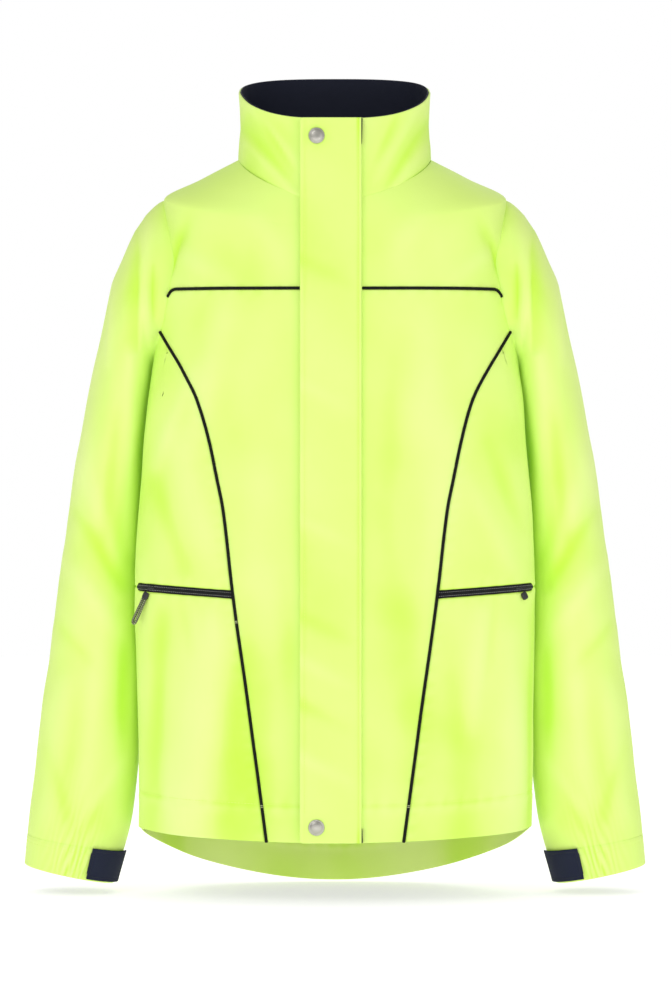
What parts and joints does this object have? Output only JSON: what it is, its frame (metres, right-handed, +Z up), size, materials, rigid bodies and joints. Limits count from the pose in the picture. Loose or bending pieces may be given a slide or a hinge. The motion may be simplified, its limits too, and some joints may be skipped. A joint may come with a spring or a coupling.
{
  "type": "foul weather jacket",
  "caption": "Waterproof sailing jacket with stand collar, storm flap over a front zip, press studs, piped seams, zipped pockets, long tail and adjustable cuffs.",
  "frame": {"origin": "bearing point of the hang loop in the back neck, at the underside of its arch", "axes": "+Z up as the jacket hangs, -Y out of the jacket's front, +X to the wearer's left"},
  "size_m": [0.6562, 0.2625, 0.865],
  "materials": {
    "shell_cloth": "fluorescent yellow waterproof woven polyester, matt with a faint laminate sheen",
    "lining_cloth": "dark navy smooth lining taffeta",
    "piping": "black woven piping over a thin cord",
    "zip_tape": "black woven zip tape with a water-shedding film",
    "zip_chain": "black moulded zip teeth",
    "zip_slider": "black painted die-cast slider",
    "pull_end": "black moulded cord end",
    "pocket_cloth": "dark mesh-backed pocket cloth",
    "snap_metal": "matt nickel press stud",
    "tab_cloth": "navy reinforced woven tab with stitched edge",
    "hook_and_loop": "black hook and loop tape",
    "elastic": "dark woven elastic",
    "cord": "black braided cord with pale reflective flecks",
    "loop_tape": "dark navy woven tape"
  },
  "bodies": {
    "root": {"front_panel_right": "shell_cloth", "front_panel_left": "shell_cloth", "side_panel_upper_right": "shell_cloth", "side_panel_upper_left": "shell_cloth", "side_panel_lower_right": "shell_cloth", "side_panel_lower_left": "shell_cloth", "front_yoke_right": "shell_cloth", "front_yoke_left": "shell_cloth", "back_yoke": "shell_cloth", "back_panel": "shell_cloth", "collar_shell": "shell_cloth", "collar_lining": "lining_cloth", "lining_back": "lining_cloth", "lining_front_right": "lining_cloth", "lining_front_left": "lining_cloth", "yoke_piping_right": "piping", "yoke_piping_left": "piping", "princess_piping_right": "piping", "princess_piping_left": "piping", "zip_tape_right": "zip_tape", "zip_tape_left": "zip_tape", "zip_chain_right": "zip_chain", "zip_chain_left": "zip_chain", "zip_guard": "lining_cloth", "zip_box": "zip_chain", "pocket_zip_right": "zip_tape", "pocket_zip_left": "zip_tape", "pocket_bag_right": "pocket_cloth", "pocket_bag_left": "pocket_cloth", "snap_stud_top": "snap_metal", "snap_stud_hem": "snap_metal", "flap_binding": "shell_cloth", "hang_loop": "loop_tape"},
    "storm_flap": {"storm_flap": "shell_cloth", "snap_cap_top": "snap_metal", "snap_cap_hem": "snap_metal", "snap_socket_top": "snap_metal", "snap_socket_hem": "snap_metal"},
    "main_slider": {"main_slider": "zip_slider", "main_puller": "zip_slider"},
    "sleeve_right": {"sleeve_right": "shell_cloth", "sleeve_lining_right": "lining_cloth", "cuff_right": "shell_cloth", "cuff_elastic_right": "elastic", "cuff_loop_patch_right": "hook_and_loop"},
    "cuff_tab_right": {"cuff_tab_right": "tab_cloth", "cuff_hook_patch_right": "hook_and_loop"},
    "pocket_slider_right": {"pocket_slider_right": "zip_slider"},
    "pocket_puller_right": {"pocket_puller_right": "pull_end", "pocket_cord_right": "cord"},
    "sleeve_left": {"sleeve_left": "shell_cloth", "sleeve_lining_left": "lining_cloth", "cuff_left": "shell_cloth", "cuff_elastic_left": "elastic", "cuff_loop_patch_left": "hook_and_loop"},
    "cuff_tab_left": {"cuff_tab_left": "tab_cloth", "cuff_hook_patch_left": "hook_and_loop"},
    "pocket_slider_left": {"pocket_slider_left": "zip_slider"},
    "pocket_puller_left": {"pocket_puller_left": "pull_end"}
  },
  "joints": [
    {"name": "storm_flap_swing", "type": "hinge", "parent": "root", "child": "storm_flap", "pos_m": [0.027, -0.19919, -0.36522], "axis": [0, 0.0457, 0.999], "range_deg": [0, 150]},
    {"name": "main_slider_travel", "type": "slide", "parent": "root", "child": "main_slider", "axis": [0, -0.0457, -0.999], "range_m": [0, 0.698]},
    {"name": "sleeve_right_lift", "type": "hinge", "parent": "root", "child": "sleeve_right", "pos_m": [-0.18, -0.076, -0.071], "axis": [0, 1, 0], "range_deg": [0, 50]},
    {"name": "cuff_tab_right_peel", "type": "hinge", "parent": "sleeve_right", "child": "cuff_tab_right", "pos_m": [-0.22406, -0.07008, -0.77372], "axis": [0.2689, 0.0034, 0.9632], "range_deg": [0, 95]},
    {"name": "pocket_slider_right_travel", "type": "hinge", "parent": "root", "child": "pocket_slider_right", "pos_m": [-0.10024, -0.06003, -0.48431], "axis": [0.0696, 0, 0.9976], "range_deg": [0, 34.2]},
    {"name": "pocket_puller_right_lift", "type": "hinge", "parent": "pocket_slider_right", "child": "pocket_puller_right", "pos_m": [-0.19443, -0.15676, -0.48235], "axis": [-0.6698, 0.6237, 0.4028], "range_deg": [0, 100]},
    {"name": "sleeve_left_lift", "type": "hinge", "parent": "root", "child": "sleeve_left", "pos_m": [0.18, -0.076, -0.071], "axis": [0, -1, 0], "range_deg": [0, 50]},
    {"name": "cuff_tab_left_peel", "type": "hinge", "parent": "sleeve_left", "child": "cuff_tab_left", "pos_m": [0.22406, -0.07008, -0.77372], "axis": [0.2689, -0.0034, -0.9632], "range_deg": [0, 95]},
    {"name": "pocket_slider_left_travel", "type": "hinge", "parent": "root", "child": "pocket_slider_left", "pos_m": [0.10024, -0.06003, -0.48431], "axis": [0.0696, 0, -0.9976], "range_deg": [0, 34.2]},
    {"name": "pocket_puller_left_lift", "type": "hinge", "parent": "pocket_slider_left", "child": "pocket_puller_left", "pos_m": [0.19443, -0.15676, -0.48235], "axis": [-0.6698, -0.6237, -0.4028], "range_deg": [0, 100]}
  ]
}
